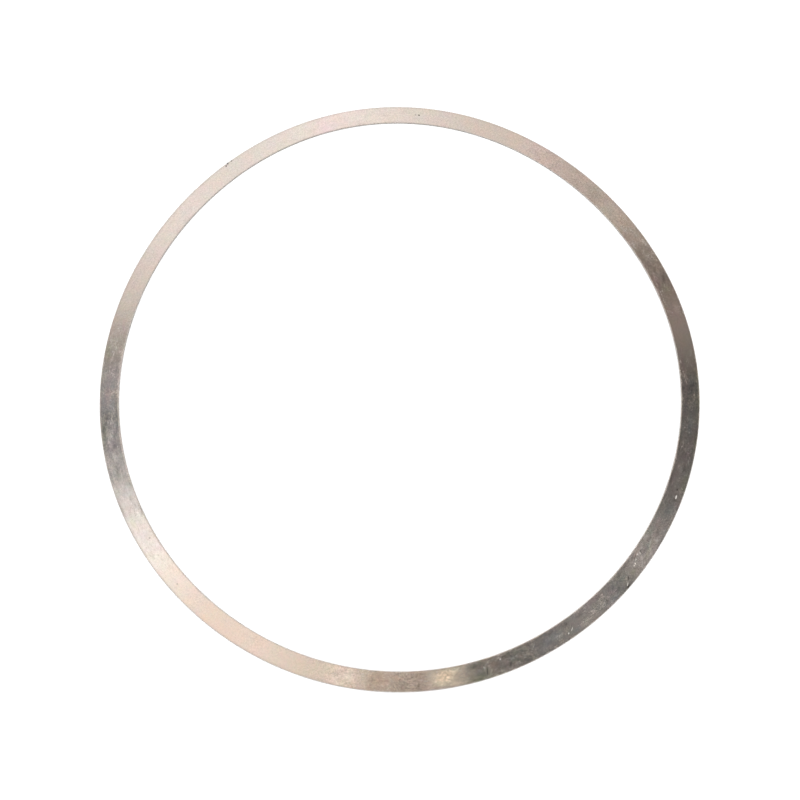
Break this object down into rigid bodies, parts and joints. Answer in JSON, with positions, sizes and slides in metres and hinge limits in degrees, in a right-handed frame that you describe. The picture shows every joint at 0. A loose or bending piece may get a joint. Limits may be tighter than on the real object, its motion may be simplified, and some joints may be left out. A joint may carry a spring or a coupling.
{
  "type": "shim ring",
  "caption": "Thin flat steel shim ring with a narrow band, a wide round bore and lightly rounded cut edges, laid between two faces to take up end play.",
  "frame": {"origin": "centre of the bore, in the plane of the lower flat face that the ring lies on", "axes": "+Z along the bore's axis, up out of the rolled-edge face; +X and +Y lie in the ring's plane, and the ring is the same all the way round"},
  "size_m": [0.16, 0.16, 0.0005],
  "materials": {
    "shim_steel": "bare cold-rolled sheet steel, satin, lightly scuffed from handling"
  },
  "bodies": {
    "root": {"shim_ring": "shim_steel"}
  },
  "joints": []
}
